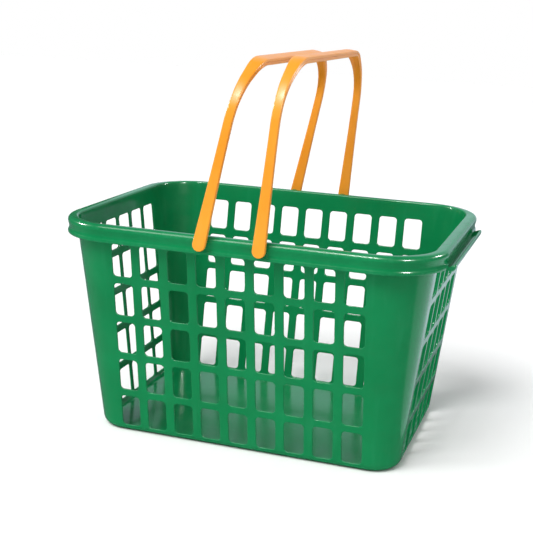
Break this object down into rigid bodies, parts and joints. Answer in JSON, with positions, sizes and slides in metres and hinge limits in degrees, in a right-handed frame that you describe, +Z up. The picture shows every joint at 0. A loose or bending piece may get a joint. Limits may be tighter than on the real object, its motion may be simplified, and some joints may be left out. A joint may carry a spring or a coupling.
{
  "type": "shopping basket",
  "caption": "Hand shopping basket: tapered open-grid plastic tub with a turned-over rim and two swinging bail handles.",
  "frame": {"origin": "middle of the tub's underside, on the plane that it stands on", "axes": "+X along the tub's length towards the right end, +Y towards the back long side, +Z up"},
  "size_m": [0.4368, 0.3372, 0.4295],
  "materials": {
    "tub": "glossy moulded polypropylene",
    "handle": "glossy moulded polypropylene"
  },
  "bodies": {
    "basket": {"floor_pan": "tub", "front_wall": "tub", "back_wall": "tub", "left_end_wall": "tub", "right_end_wall": "tub", "left_front_corner": "tub", "left_back_corner": "tub", "right_front_corner": "tub", "right_back_corner": "tub", "front_rim": "tub", "back_rim": "tub", "left_end_rim": "tub", "right_end_rim": "tub", "left_front_rim_corner": "tub", "left_back_rim_corner": "tub", "right_front_rim_corner": "tub", "right_back_rim_corner": "tub", "left_end_lip": "tub", "right_end_lip": "tub"},
    "left_handle": {"left_handle_grip": "handle", "left_handle_front_arm": "handle", "left_handle_front_shoulder": "handle", "left_handle_front_stud": "handle", "left_handle_back_arm": "handle", "left_handle_back_shoulder": "handle", "left_handle_back_stud": "handle"},
    "right_handle": {"right_handle_grip": "handle", "right_handle_front_arm": "handle", "right_handle_front_shoulder": "handle", "right_handle_front_stud": "handle", "right_handle_back_arm": "handle", "right_handle_back_shoulder": "handle", "right_handle_back_stud": "handle"}
  },
  "joints": [
    {"name": "left_handle_swing", "type": "hinge", "parent": "basket", "child": "left_handle", "pos_m": [-0.032, 0, 0.2388], "axis": [0, 1, 0], "range_deg": [-101.5, 3]},
    {"name": "right_handle_swing", "type": "hinge", "parent": "basket", "child": "right_handle", "pos_m": [0.032, 0, 0.2388], "axis": [0, 1, 0], "range_deg": [-3, 85]}
  ]
}
